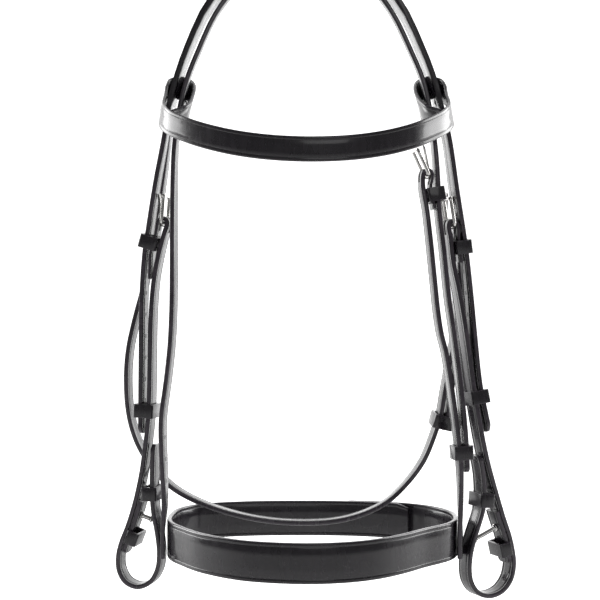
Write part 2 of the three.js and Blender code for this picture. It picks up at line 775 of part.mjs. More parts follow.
// A keeper round every strap given by its place there, with more room on the first place's low and high side.
function addKeeperRound(name, width, places, room = [0, 0]) {
  const [first] = places;
  const reach = places.map(({ point, along, half = LEATHER / 2 }) => {
    const off = point.clone().sub(first.point).dot(first.face);
    const slope = Math.abs(along.dot(first.face)) * (KEEPER_HEIGHT / 2);
    return [off - half - slope, off + half + slope];
  });
  const low = Math.min(...reach.map(([from]) => from)) - room[0];
  const high = Math.max(...reach.map(([, to]) => to)) + room[1];
  addKeeper(name, first, width, low, high);
}

// A strap folded over its buckle's bar, and the buckle.
function addBuckled(strapName, buckleName, route, width, tailSpans, buckle, tongueSide, tips = [1, 1]) {
  const strap = strapGeometry(route, width, { tips, steps: 3, thick: skived(route, tailSpans) });
  add(strapName, geometryOf(solidOf(strap).subtract(slotAt(buckle))), leather());
  addBuckle(buckleName, buckle, tongueSide);
}

// The place at a height on a fold's tail, which is the last stretch of its route.
function tailPlace(route, value, tailSpans, axis = "z") {
  const top = (route.spans - tailSpans + 1) / route.spans;
  return { ...placeAt(route, value, top, axis), half: SKIVED / 2 };
}

// ---------------------------------------------------------------- the noseband's fastening

const REAR_BAR_X = 48;
const REAR_MAIN = LAYER + 0.2; // the chape's main layer, outside the noseband's outer layer
const REAR_BILLET = REAR_MAIN + KEEPER_LAYER + SKIVED / 2 + GAP + LEATHER / 2 + 1.8;
const LAP_FROM = 0.82; // along the noseband, a place before its outer layer

// A place outside the band on its first pass round the back, or outside its outer layer.
function outside(x, out, from = 0) {
  const { point, face } = placeAt(nosebandRoute, x, from, "x");
  point.addScaledVector(face, out);
  return [point.x, point.y, NOSEBAND_Z];
}

function addRearFastening() {
  const radius = BAR_REACH + GAP + LEATHER / 2;
  const half = Math.SQRT1_2 * radius;
  const { point, along, across, face } = placeAt(nosebandRoute, REAR_BAR_X, LAP_FROM, "x");
  const bar = point.addScaledVector(face, REAR_MAIN + radius);
  const by = (forward, out) => {
    const { x, y, z } = bar.clone().addScaledVector(along, forward).addScaledVector(face, out);
    return [x, y, z];
  };
  const chape = new Route(
    [
      ...[94, 84, 74, 64].map((x) => outside(x, REAR_MAIN, LAP_FROM)),
      by(-NECK_DROP, -radius),
      by(0, -radius),
      by(half, -half),
      by(radius, 0),
      by(half, half),
      by(0, radius),
      by(-NECK_DROP, KEEPER_LAYER - radius),
      ...[64, 74, 84].map((x) => outside(x, REAR_MAIN + KEEPER_LAYER, LAP_FROM)),
    ],
    true,
  );
  const buckle = { point: bar, across, up: along, frame: along, tongue: along, width: REAR_STRAP_WIDTH };
  addBuckled("noseband_rear_chape", "noseband_rear_buckle", chape, REAR_STRAP_WIDTH, 7, buckle, NEAR);

  const billet = new Route(
    [
      ...[-68, -58, -40].map((x) => outside(x, LAYER)),
      outside(-24, LAYER + 1),
      outside(-4, LAYER + 7),
      outside(14, LAYER + REAR_BILLET - 0.8),
      outside(32, LAYER + REAR_BILLET + 0.3),
      ...[48, 66, 84, 100].map((x) => outside(x, REAR_BILLET, LAP_FROM)),
    ],
    true,
  );
  const strap = strapGeometry(billet, REAR_STRAP_WIDTH, { steps: 3, tips: [1, 0.55] });
  add("noseband_rear_billet", strap, leather());
  for (const [name, x] of [["noseband_rear_keeper", 62], ["noseband_rear_second_keeper", 78]]) {
    addKeeperRound(name, REAR_STRAP_WIDTH, [tailPlace(chape, x, 7, "x"), placeAt(billet, x, 0, "x")]);
  }
}

addHeadpiece();
add("browband", strapGeometry(browbandRoute, BROWBAND_WIDTH, { thick: BROWBAND_LEATHER, steps: 3 }), leather());
add("noseband", strapGeometry(nosebandRoute, NOSEBAND_WIDTH, { steps: 3, tips: [0.8, 1] }), leather());
add(
  "noseband_headstrap",
  strapGeometry(headstrapRoute, HEADSTRAP_WIDTH, { steps: 3, tips: [1, 0.55] }),
  leather(),
);

addBuckled("throatlash", "throatlash_buckle", throatRoute, THROAT_WIDTH, 5,
  buckleAt(throatBar, -10, -8, 2, THROAT_WIDTH), NEAR);
addBuckled("noseband_cheek_strap", "noseband_buckle", noseStrapRoute, HEADSTRAP_WIDTH, 5,
  buckleAt(noseBar, 5, -25, -12, HEADSTRAP_WIDTH), NEAR);
addBuckled("off_cheekpiece", "off_cheek_buckle", cheekRoutes.off, CHEEK_WIDTH, 6,
  buckleAt(offBar, 14, 4, -5, CHEEK_WIDTH), OFF, [0.6, 1]);
addBuckled("near_cheekpiece", "near_cheek_buckle", cheekRoutes.near, CHEEK_WIDTH, 5,
  buckleAt(nearBar, -6, -9, -3, CHEEK_WIDTH), NEAR, [0.6, 1]);
addBitEnd("off");
addBitEnd("near");

addKeeperRound("off_cheek_keeper", CHEEK_WIDTH,
  [tailPlace(cheekRoutes.off, -230, 6), placeAt(cheekBillets.off, -230)]);
addKeeperRound("off_cheek_runner", CHEEK_WIDTH,
  [placeAt(cheekRoutes.off, -366, upFrom), placeAt(cheekBillets.off, -366)]);
addKeeperRound("near_cheek_keeper", CHEEK_WIDTH,
  [tailPlace(cheekRoutes.near, -233, 5), placeAt(cheekBillets.near, -233)]);
addKeeperRound("near_cheek_runner", CHEEK_WIDTH,
  [placeAt(cheekRoutes.near, -356, upFrom), placeAt(cheekBillets.near, -356)]);
addKeeperRound("noseband_upper_keeper", HEADSTRAP_WIDTH,
  [tailPlace(noseStrapRoute, -192.5, 5), placeAt(headstrapRoute, -192.5, 0.6)]);
addKeeperRound("noseband_runner", HEADSTRAP_WIDTH,
  [placeAt(headstrapRoute, -397, 0.6), placeAt(noseStrapRoute, -397)]);
addKeeperRound("throatlash_keeper", THROAT_WIDTH,
  [tailPlace(throatRoute, -230, 5), placeAt(throatBillet, -230)]);
addKeeperRound("throatlash_runner", THROAT_WIDTH,
  [placeAt(throatRoute, -376, throatUpFrom), placeAt(throatBillet, -376)], [0.4, 0.4]);

addRearFastening();

export default bridle;
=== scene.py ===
"""Finishes a snaffle bridle: creased and stitched straps, keepers and polished buckles, in a studio.

Everything is in metres in the part's own frame: +X to the horse's near side, -Y to the front, +Z up.
"""

import json
import math

import bmesh
import bpy
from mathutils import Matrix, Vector


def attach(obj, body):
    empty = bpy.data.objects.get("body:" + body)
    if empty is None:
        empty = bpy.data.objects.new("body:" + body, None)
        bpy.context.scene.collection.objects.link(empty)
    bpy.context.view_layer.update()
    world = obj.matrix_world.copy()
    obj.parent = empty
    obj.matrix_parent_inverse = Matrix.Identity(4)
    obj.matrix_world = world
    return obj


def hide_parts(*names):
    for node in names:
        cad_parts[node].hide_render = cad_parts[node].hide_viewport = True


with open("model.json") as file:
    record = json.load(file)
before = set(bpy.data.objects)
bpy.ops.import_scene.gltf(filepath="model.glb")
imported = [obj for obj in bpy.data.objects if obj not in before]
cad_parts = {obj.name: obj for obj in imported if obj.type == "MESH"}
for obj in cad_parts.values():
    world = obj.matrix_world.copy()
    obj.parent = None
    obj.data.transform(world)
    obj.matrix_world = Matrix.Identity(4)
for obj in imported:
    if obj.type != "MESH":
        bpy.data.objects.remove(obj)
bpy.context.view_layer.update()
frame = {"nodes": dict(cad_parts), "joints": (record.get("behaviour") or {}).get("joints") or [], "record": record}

bl_info = {
    "name": "Snaffle bridle",
    "version": (1, 0, 0),
    "blender": (4, 5, 0),
    "location": "View3D > Sidebar > Bridle",
    "description": "Straps, keepers and buckles of a snaffle bridle, and a studio to see them in",
    "category": "Object",
}

BODY = "headstall"
DOUBLED = 1e-6  # corners nearer than this are one
FLAT = math.radians(1)  # faces that meet at less than this are one face
BENT = math.radians(5)  # the least turn of a keeper's inner corner
SQUARE_CORNER = math.radians(60)  # the least turn of a corner that isn't bent round yet
ALONG = 0.9  # the cosine of the most that such a corner leans from the way through a keeper
SMOOTH = 50  # degrees: flatter edges than this are shaded smooth
NO_HOLES = (0.0, -1.0)

STITCH_PITCH = 0.0029
STITCH_INSET = 0.0031  # from a strap's edge to its row of stitches
HOLE_STEP = 0.0175
HOLE_RADIUS = 0.0019

# Each strap that is one bent length: how far in from its edges the crease lies, whether it is stitched,
# and from where to where it has holes.
STRAPS = {
    "browband": {"crease": 0.0019},
    "noseband": {"crease": 0.0022},
    "noseband_headstrap": {"crease": 0.0016, "holes": (0.012, 0.10)},
    "noseband_cheek_strap": {"crease": 0.0016},
    "throatlash": {"crease": 0.0016},
    "off_cheekpiece": {"crease": 0.0019},
    "near_cheekpiece": {"crease": 0.0019},
    "off_stud_layer": {"crease": 0.0019, "stitched": 1.0},
    "near_stud_layer": {"crease": 0.0019, "stitched": 1.0},
    "noseband_rear_chape": {"crease": 0.0019, "stitched": 1.0},
    "noseband_rear_billet": {"crease": 0.0019, "holes": (0.012, 0.10)},
}
# Straps folded round a buckle's bar, and the joint that turns on it.
FOLDS = {
    "noseband_cheek_strap": "noseband_buckle_hinge",
    "throatlash": "throatlash_buckle_hinge",
    "off_cheekpiece": "off_cheek_buckle_hinge",
    "near_cheekpiece": "near_cheek_buckle_hinge",
    "noseband_rear_chape": "noseband_rear_buckle_hinge",
}


# ---------------------------------------------------------------- settings


class BridleSettings(bpy.types.PropertyGroup):
    leather: bpy.props.FloatVectorProperty(
        name="Leather", description="Colour of the grain side", subtype="COLOR", size=3,
        default=(0.0125, 0.0103, 0.0142), min=0, max=1,
    )
    # Partly edge wear, partly painted sheen: this lighter colour also stands for the highlight along burnished
    # edges and keeper rims.
    worn_and_sheen: bpy.props.FloatVectorProperty(
        name="Worn leather", description="Colour where the dye has rubbed thin",
        subtype="COLOR", size=3,
        default=(0.062, 0.050, 0.066), min=0, max=1,
    )
    roughness: bpy.props.FloatProperty(
        name="Roughness", description="Of the waxed grain side",
        default=0.25, min=0, max=1, subtype="FACTOR",
    )
    wax: bpy.props.FloatProperty(
        name="Wax", description="How much the wax glosses over the grain",
        default=0.5, min=0, max=1, subtype="FACTOR",
    )
    edge_round: bpy.props.FloatProperty(
        name="Edge rounding", description="Radius of a strap's burnished edges",
        default=0.0010, min=0, unit="LENGTH",
    )
    crease_depth: bpy.props.FloatProperty(
        name="Crease depth", description="Of the line pressed in beside each edge",
        default=0.00025, min=0, unit="LENGTH",
    )
    keeper_bend: bpy.props.FloatProperty(
        name="Keeper bend", description="Outer radius where a keeper bends round its straps",
        default=0.0022, min=0, unit="LENGTH",
    )
    keeper_round: bpy.props.FloatProperty(
        name="Keeper rounding", description="Radius of a keeper's edges",
        default=0.0006, min=0, unit="LENGTH",
    )
    metal: bpy.props.FloatVectorProperty(
        name="Metal", description="Colour of the buckles and studs", subtype="COLOR", size=3,
        default=(0.80, 0.79, 0.77), min=0, max=1,
    )
    metal_round: bpy.props.FloatProperty(
        name="Metal rounding", description="Radius of a buckle's edges",
        default=0.0006, min=0, unit="LENGTH",
    )
    camera_distance: bpy.props.FloatProperty(
        name="Camera distance", description="In front of the poll",
        default=1.17, min=0, unit="LENGTH",
    )
    camera_height: bpy.props.FloatProperty(
        name="Camera height", description="Against the poll",
        default=-0.2535, unit="LENGTH",
    )
    camera_side: bpy.props.FloatProperty(
        name="Camera side", description="Towards the near side",
        default=-0.0044, unit="LENGTH",
    )
    lens: bpy.props.FloatProperty(
        name="Lens", description="Focal length in millimetres, on a 36 mm wide sensor",
        default=86.3, min=1,
    )
    lens_shift: bpy.props.FloatProperty(
        name="Lens shift", description="Upright shift, as a share of the picture",
        default=-0.0467,
    )
    key_power: bpy.props.FloatProperty(
        name="Key light", description="Power of the soft light over the camera",
        default=3.5, min=0, unit="POWER",
    )
    side_power: bpy.props.FloatProperty(
        name="Side lights", description="Power of each soft light beside and behind",
        default=22, min=0, unit="POWER",
    )
    surround: bpy.props.FloatProperty(
        name="Surround", description="Brightness of the room, but for what the camera sees of it",
        default=0.16, min=0,
    )
    backdrop: bpy.props.FloatProperty(
        name="Backdrop", description="Brightness of the lit wall, and of the floor as the camera sees it",
        default=0.95, min=0,
    )


# ---------------------------------------------------------------- node groups


class Sums:
    """Builds small sums of value nodes in a tree."""

    def __init__(self, tree):
        self.tree = tree

    def node(self, kind, **settings):
        made = self.tree.nodes.new(kind)
        for name, value in settings.items():
            setattr(made, name, value)
        return made

    def join(self, source, target):
        self.tree.links.new(source, target)

    def math(self, operation, *values):
        made = self.node("ShaderNodeMath", operation=operation)
        for socket, value in zip(made.inputs, values):
            if isinstance(value, (int, float)):
                socket.default_value = value
            else:
                self.join(value, socket)
        return made.outputs[0]

    def ramp(self, value, low, high, start=0.0, end=1.0):
        made = self.node("ShaderNodeMapRange", interpolation_type="SMOOTHSTEP")
        for socket, given in zip(made.inputs, (value, low, high, start, end)):
            if isinstance(given, (int, float)):
                socket.default_value = given
            else:
                self.join(given, socket)
        return made.outputs[0]

    def mix(self, share, first, second):
        made = self.node("ShaderNodeMix", data_type="RGBA")
        for socket, given in ((made.inputs[0], share), (made.inputs[6], first), (made.inputs[7], second)):
            if isinstance(given, (int, float, tuple)):
                socket.default_value = given
            else:
                self.join(given, socket)
        return made.outputs[2]

    def noise(self, vector, scale, detail=3.0, roughness=0.5):
        made = self.node("ShaderNodeTexNoise")
        made.inputs["Scale"].default_value = scale
        made.inputs["Detail"].default_value = detail
        made.inputs["Roughness"].default_value = roughness
        self.join(vector, made.inputs["Vector"])
        return made.outputs["Fac"]


def group_with(name, inputs, outputs):
    tree = bpy.data.node_groups.new(name, "ShaderNodeTree")
    for kind, label, default in inputs:
        socket = tree.interface.new_socket(label, in_out="INPUT", socket_type=kind)
        if default is not None:
            socket.default_value = default
    for kind, label in outputs:
        tree.interface.new_socket(label, in_out="OUTPUT", socket_type=kind)
    return tree, Sums(tree)


def leather_group():
    """Grain, edges lightened for wear and for a painted sheen, stitches, and punched holes painted near-black for
    the shade in them, from the length and width along a strap.
    """
    name = "Bridle leather"
    if name in bpy.data.node_groups:
        return bpy.data.node_groups[name]
    tree, make = group_with(
        name,
        [
            ("NodeSocketColor", "Leather", (0.01, 0.01, 0.01, 1)),
            ("NodeSocketColor", "Worn and sheen", (0.03, 0.03, 0.03, 1)),
            ("NodeSocketFloat", "Roughness", 0.3),
            ("NodeSocketFloat", "Half width", 0.01),
            ("NodeSocketFloat", "Stitched", 0.0),
            ("NodeSocketFloat", "First hole", 0.0),
            ("NodeSocketFloat", "Last hole", -1.0),
        ],
        [
            ("NodeSocketColor", "Color"),
            ("NodeSocketFloat", "Roughness"),
            ("NodeSocketVector", "Normal"),
        ],
    )
    given = make.node("NodeGroupInput").outputs
    result = make.node("NodeGroupOutput").inputs
    place = make.node("ShaderNodeTexCoord").outputs["Object"]
    uv = make.node("ShaderNodeUVMap", uv_map="strap").outputs["UV"]
    split = make.node("ShaderNodeSeparateXYZ")
    make.join(uv, split.inputs[0])
    length, across = split.outputs[0], split.outputs[1]
    side = make.math("ABSOLUTE", across)
    inset = make.math("SUBTRACT", given["Half width"], side)

    pebble = make.node("ShaderNodeTexVoronoi", feature="SMOOTH_F1")
    pebble.inputs["Scale"].default_value = 1500.0
    make.join(place, pebble.inputs["Vector"])
    fine = make.noise(place, 900.0, 4.0, 0.6)
    broad = make.noise(place, 45.0, 3.0)
    streak = make.node("ShaderNodeMapping")
    streak.inputs["Scale"].default_value = (1.0, 1.0, 0.12)
    make.join(place, streak.inputs["Vector"])
    drawn = make.noise(streak.outputs[0], 260.0, 3.0)

    # Painted sheen and edge wear: a patchy band along each edge is lightened, standing both for thin dye and for
    # the highlight on burnished edges.
    rubbed_and_sheen = make.ramp(inset, 0.0011, 0.0, 0.0, 0.85)
    patchy_wear_and_sheen = make.math("MULTIPLY", rubbed_and_sheen, make.ramp(broad, 0.3, 0.65, 0.45))
    tone = make.mix(patchy_wear_and_sheen, given["Leather"], given["Worn and sheen"])
    cloudy = make.ramp(drawn, 0.3, 0.75, 0.0, 0.18)
    tone = make.mix(make.math("MULTIPLY", cloudy, 0.6), tone, given["Worn and sheen"])

    beat = make.math("FRACT", make.math("DIVIDE", length, STITCH_PITCH))
    run = make.math("ABSOLUTE", make.math("SUBTRACT", beat, 0.5))
    along = make.ramp(run, 0.42, 0.34)
    row = make.math("ABSOLUTE", make.math("SUBTRACT", inset, STITCH_INSET))
    thread = make.math("MULTIPLY", along, make.ramp(row, 0.00042, 0.00022))
    thread = make.math("MULTIPLY", thread, given["Stitched"])
    furrow = make.math("MULTIPLY", make.ramp(row, 0.0009, 0.0003), given["Stitched"])
    tone = make.mix(thread, tone, (0.035, 0.032, 0.036, 1))

    hole_at = make.math("SUBTRACT", make.math("MODULO", length, HOLE_STEP), HOLE_STEP / 2)
    away = make.math(
        "SQRT", make.math("ADD", make.math("POWER", hole_at, 2.0), make.math("POWER", across, 2.0))
    )
    hole = make.ramp(away, HOLE_RADIUS + 0.0002, HOLE_RADIUS - 0.0002)
    after = make.math("GREATER_THAN", length, given["First hole"])
    before = make.math("LESS_THAN", length, given["Last hole"])
    hole = make.math("MULTIPLY", hole, make.math("MULTIPLY", after, before))
    # Painted shade: each punched hole is coloured near-black for the shade inside it, as the hole is not cut.
    tone = make.mix(hole, tone, (0.001, 0.001, 0.001, 1))
    make.join(tone, result["Color"])

    rough = make.math("ADD", given["Roughness"], make.ramp(broad, 0.3, 0.7, -0.03, 0.05))
    rough = make.math("ADD", rough, make.ramp(drawn, 0.3, 0.7, -0.02, 0.03))
    rough = make.math("ADD", rough, make.math("MULTIPLY", thread, 0.3))
    rough = make.math("ADD", rough, make.math("MULTIPLY", hole, 0.5))
    make.join(rough, result["Roughness"])

    height = make.math("MULTIPLY", pebble.outputs["Distance"], 0.35)
    height = make.math("ADD", height, make.math("MULTIPLY", fine, 0.35))
    height = make.math("ADD", height, make.math("MULTIPLY", broad, 0.8))
    height = make.math("ADD", height, make.math("MULTIPLY", thread, 3.0))
    height = make.math("SUBTRACT", height, make.math("MULTIPLY", furrow, 2.2))
    height = make.math("SUBTRACT", height, make.math("MULTIPLY", hole, 6.0))
    bump = make.node("ShaderNodeBump")
    bump.inputs["Strength"].default_value = 0.13
    bump.inputs["Distance"].default_value = 0.00012
    make.join(height, bump.inputs["Height"])
    make.join(bump.outputs[0], result["Normal"])
    return tree


FINGERED = (0.55, 0.53, 0.50, 1)


def metal_group():
    """Small pits and fingered patches on polished metal."""
    name = "Bridle metal"
    if name in bpy.data.node_groups:
        return bpy.data.node_groups[name]
    tree, make = group_with(
        name,
        [("NodeSocketColor", "Metal", (0.8, 0.8, 0.78, 1)), ("NodeSocketFloat", "Roughness", 0.12)],
        [("NodeSocketColor", "Color"), ("NodeSocketFloat", "Roughness"), ("NodeSocketVector", "Normal")],
    )
    given = make.node("NodeGroupInput").outputs
    result = make.node("NodeGroupOutput").inputs
    place = make.node("ShaderNodeTexCoord").outputs["Object"]
    patch = make.noise(place, 160.0, 4.0, 0.6)
    fine = make.noise(place, 1500.0, 2.0)
    dull = make.ramp(patch, 0.45, 0.75)
    tone = make.mix(make.math("MULTIPLY", dull, 0.35), given["Metal"], FINGERED)
    make.join(tone, result["Color"])
    rough = make.math("ADD", given["Roughness"], make.math("MULTIPLY", dull, 0.12))
    make.join(rough, result["Roughness"])
    bump = make.node("ShaderNodeBump")
    bump.inputs["Strength"].default_value = 0.12
    bump.inputs["Distance"].default_value = 0.00008
    make.join(make.math("ADD", patch, make.math("MULTIPLY", fine, 0.3)), bump.inputs["Height"])
    make.join(bump.outputs[0], result["Normal"])
    return tree


def shaded(name, tree, inputs):
    """A material whose Principled shader takes its colour, roughness and normal from a node group."""
    material = bpy.data.materials.new(name)
    material.use_nodes = True
    nodes, links = material.node_tree.nodes, material.node_tree.links
    shader = nodes["Principled BSDF"]
    source = nodes.new("ShaderNodeGroup")
    source.node_tree = tree
    for label, value in inputs.items():
        source.inputs[label].default_value = value
    links.new(source.outputs["Color"], shader.inputs["Base Color"])
    links.new(source.outputs["Roughness"], shader.inputs["Roughness"])
    links.new(source.outputs["Normal"], shader.inputs["Normal"])
    return material, shader


def leather_material(settings, name, half_width=1.0, stitched=0.0, holes=NO_HOLES):
    material, shader = shaded(
        name,
        leather_group(),
        {
            "Leather": (*settings.leather, 1),
            "Worn and sheen": (*settings.worn_and_sheen, 1),
            "Roughness": settings.roughness,
            "Half width": half_width,
            "Stitched": stitched,
            "First hole": holes[0],
            "Last hole": holes[1],
        },
    )
    shader.inputs["IOR"].default_value = 1.5
    shader.inputs["Coat Weight"].default_value = settings.wax
    shader.inputs["Coat Roughness"].default_value = 0.10
    return material


def metal_material(settings):
    material, shader = shaded(
        "Buckle metal", metal_group(), {"Metal": (*settings.metal, 1), "Roughness": 0.10}
    )
    shader.inputs["Metallic"].default_value = 1.0
    return material


# ---------------------------------------------------------------- reading a strap's middle line


def merged_mesh(node):
    """The node's surface with its doubled corners joined."""
    mesh = bmesh.new()
    mesh.from_mesh(frame["nodes"][node].data)
    bmesh.ops.remove_doubles(mesh, verts=mesh.verts, dist=DOUBLED)
    return mesh


class Rings:
    """A strap's four long edges, walked from an end: middles, widths and thicknesses, ring by ring."""

    SHARP = math.radians(40)
    SQUARE = 0.5  # the least squareness of an end cap

    def __init__(self, node):
        self.mesh = merged_mesh(node)
        self.mesh.normal_update()
        self.sharp = {v: [] for v in self.mesh.verts}
        for edge in self.mesh.edges:
            if len(edge.link_faces) == 2 and edge.calc_face_angle(0) > self.SHARP:
                a, b = edge.verts
                self.sharp[a].append(b)
                self.sharp[b].append(a)

    def ends(self):
        """The strap's end caps: four corners in a ring, each with one long edge besides."""
        corners = {v for v, near in self.sharp.items() if len(near) == 3}
        found = []
        for first in corners:
            for second in self.sharp[first]:
                for third in self.sharp[second]:
                    for fourth in self.sharp[third]:
                        ring = [first, second, third, fourth]
                        closed = set(ring) <= corners and first in self.sharp[fourth]
                        if len(set(ring)) < 4 or not closed or self.squareness(ring) <= self.SQUARE:
                            continue
                        if not any(set(ring) == set(other) for other in found):
                            found.append(ring)
        return sorted(found, key=self.squareness, reverse=True)

    def squareness(self, ring):
        """How steeply the long edges leave a cap: 1 where every one is square to it."""
        a, b, c, d = (corner.co for corner in ring)
        normal = (c - a).cross(d - b).normalized()
        leaving = [
            (v.co - corner.co).normalized() for corner in ring for v in self.sharp[corner] if v not in ring
        ]
        return min((abs(edge.dot(normal)) for edge in leaving), default=0)

    def walk(self, cap):
        """Rings of corner places from a cap until the other cap, or until a long edge ends in a joint."""
        before, here = set(), list(cap)
        rings = [[corner.co.copy() for corner in here]]
        while True:
            onward = [
                [v for v in self.sharp[corner] if v not in before and v not in here] for corner in here
            ]
            if not all(onward):
                return rings
            before = set(here)
            here = [
                min(choice, key=lambda v: (v.co - corner.co).length) for choice, corner in zip(onward, here)
            ]
            rings.append([corner.co.copy() for corner in here])

    def strap(self, cap):
        """Each ring as (middle, across, through); the last two reach from the middle to the faces."""
        rings = self.walk(cap)
        a, b, c, _ = rings[len(rings) // 2]
        turn = 0 if (a - b).length < (b - c).length else 1
        places = []
        for ring in rings:
            p, q, r, s = ring[turn:] + ring[:turn]
            across = (r + s - p - q) / 4
            through = (q + r - p - s) / 4
            places.append(((p + q + r + s) / 4, across, through))
        return places


def blended(places, steps):
    """Smooth places between a strap's rings."""
    made = []
    last = len(places) - 1
    for i in range(last):
        for k in range(steps):
            t = k / steps
            out = []
            for part in range(3):
                p0 = places[max(i - 1, 0)][part]
                p1 = places[i][part]
                p2 = places[i + 1][part]
                p3 = places[min(i + 2, last)][part]
                out.append(
                    0.5 * (2 * p1 + (p2 - p0) * t + (2 * p0 - 5 * p1 + 4 * p2 - p3) * t**2
                           + (3 * p1 - p0 - 3 * p2 + p3) * t**3)
                )
            made.append(tuple(out))
    made.append(places[last])
    return made


# ---------------------------------------------------------------- making pieces


def linked(name, mesh):
    obj = bpy.data.objects.new(name, mesh)
    bpy.context.scene.collection.objects.link(obj)
    return obj


def chosen(obj):
    bpy.ops.object.select_all(action="DESELECT")
    bpy.context.view_layer.objects.active = obj
    obj.select_set(True)


def applied(obj, kind, **settings):
    chosen(obj)
    modifier = obj.modifiers.new(kind.title(), kind)
    for name, value in settings.items():
        setattr(modifier, name, value)
    bpy.ops.object.modifier_apply(modifier=modifier.name)


def smoothed(obj, degrees):
    chosen(obj)
    bpy.ops.object.shade_smooth_by_angle(angle=math.radians(degrees))


DIAGONAL = 0.29  # how far a round corner's middle lies inside the square one, as a share of its radius
GROOVE = 0.00045  # half the width of a crease


def section(half_width, half_thick, rounding, crease, depth):
    """A strap's outline, (place across, place through), with rounded edges and a crease beside each."""
    r = min(rounding, half_thick * 0.8, half_width * 0.3)
    w, t = half_width, half_thick
    half = [(w, t - r), (w - DIAGONAL * r, t - DIAGONAL * r), (w - r, t)]
    if crease:
        c = min(crease + r, w * 0.6)
        half += [(w - c + GROOVE, t), (w - c, t - depth), (w - c - GROOVE, t)]
    half += [(w * 0.3, t), (0.0, t)]
    top = half + [(-x, y) for x, y in reversed(half[:-1])]
    return top + [(-x, -y) for x, y in top]


def fine_strap(name, places, settings, crease, steps=3):
    """A strap with rounded, creased edges along the places; its map runs along and across it in metres."""
    places = blended(places, steps)
    verts, maps = [], []
    length = 0.0
    widest = max(across.length for _, across, _ in places)
    for i, (middle, across, through) in enumerate(places):
        if i:
            length += (middle - places[i - 1][0]).length
        w, t = across.length, through.length
        x, y = across.normalized(), through.normalized()
        for a, b in section(w, t, settings.edge_round, crease * w / widest, settings.crease_depth):
            verts.append(middle + x * a + y * b)
            maps.append((length, a * widest / w))
    count = len(verts) // len(places)
    faces = []
    for i in range(len(places) - 1):
        for k in range(count):
            n = (k + 1) % count
            faces.append((i * count + k, i * count + n, (i + 1) * count + n, (i + 1) * count + k))
    faces.append(tuple(range(count)))
    faces.append(tuple((len(places) - 1) * count + k for k in reversed(range(count))))
    mesh = bpy.data.meshes.new(name)
    mesh.from_pydata(verts, [], faces)
    layer = mesh.uv_layers.new(name="strap")
    for loop in mesh.loops:
        layer.data[loop.index].uv = maps[loop.vertex_index]
    mesh.validate()
    obj = linked(name, mesh)
    chosen(obj)
    bpy.ops.object.mode_set(mode="EDIT")
    bpy.ops.mesh.select_all(action="SELECT")
    bpy.ops.mesh.normals_make_consistent(inside=False)
    bpy.ops.object.mode_set(mode="OBJECT")
    return obj, widest


def joint_named(name):
    for joint in frame["joints"]:
        if joint["name"] == name:
            return Vector(joint["pos_m"]), Vector(joint["axis"]).normalized()
    raise RuntimeError(f"the bridle has no joint named {name}")


FOLD_RADIUS = 0.0046  # a fold's middle line keeps within this of its buckle's bar
SLOT_WIDTH, SLOT_DEPTH = 0.0044, 0.018
SLOT_ABOVE, SLOT_BELOW = 0.010, 0.007  # from the bar's axis


def cut_slot(obj, places, hinge):
    """Cuts the tongue's slot through a fold."""
    centre, axis = joint_named(hinge)
    fold = [middle - centre for middle, _, _ in places if (middle - centre).length < FOLD_RADIUS]
    if not fold:
        raise RuntimeError(f"{obj.name} has no fold round {hinge}")
    up = sum(fold, Vector()).normalized()
    up = (up - axis * up.dot(axis)).normalized()
    out = up.cross(axis)
    bpy.ops.object.select_all(action="DESELECT")
    bpy.ops.mesh.primitive_cube_add(size=1)
    cutter = bpy.context.object
    for corner in cutter.data.vertices:
        x, y, z = corner.co
        height = SLOT_ABOVE if z > 0 else -SLOT_BELOW
        corner.co = centre + axis * (x * SLOT_WIDTH) + out * (y * SLOT_DEPTH) + up * height
    applied(obj, "BOOLEAN", operation="DIFFERENCE", solver="EXACT", object=cutter)
    bpy.data.objects.remove(cutter)
    if not obj.data.polygons:
        raise RuntimeError(f"the slot took all of {obj.name}")


def whole_faced_mesh(node):
    """The node's surface with each flat face in one piece."""
    mesh = merged_mesh(node)
    bmesh.ops.dissolve_limit(mesh, angle_limit=FLAT, verts=mesh.verts, edges=mesh.edges)
    return mesh


def rounded_piece(name, mesh, rounding, segments, degrees):
    """A piece with the mesh's surface, whose edges sharper than the angle are rounded."""
    data = bpy.data.meshes.new(name)
    mesh.to_mesh(data)
    mesh.free()
    obj = linked(name, data)
    applied(obj, "BEVEL", width=rounding, segments=segments, limit_method="ANGLE",
            angle_limit=math.radians(degrees), harden_normals=False)
    smoothed(obj, SMOOTH)
    return obj


def rounded_copy(name, node, rounding, segments=3):
    """A copy of a CAD piece with its edges rounded."""
    return rounded_piece(name, whole_faced_mesh(node), rounding, segments, 40)


def way_of(edge):
    a, b = edge.verts
    return (b.co - a.co).normalized()


def way_through(node):
    """A keeper's middle, and the way its straps run through it, which its inner corners show."""
    mesh = merged_mesh(node)
    mesh.normal_update()
    inner = [
        way_of(edge) for edge in mesh.edges if not edge.is_convex and edge.calc_face_angle(0) > BENT
    ]
    middle = sum((v.co for v in mesh.verts), Vector()) / len(mesh.verts)
    mesh.free()
    if not inner:
        raise RuntimeError(f"{node} has no inner corner")
    way = sum((edge if edge.dot(inner[0]) > 0 else -edge for edge in inner), Vector()).normalized()
    return middle, way


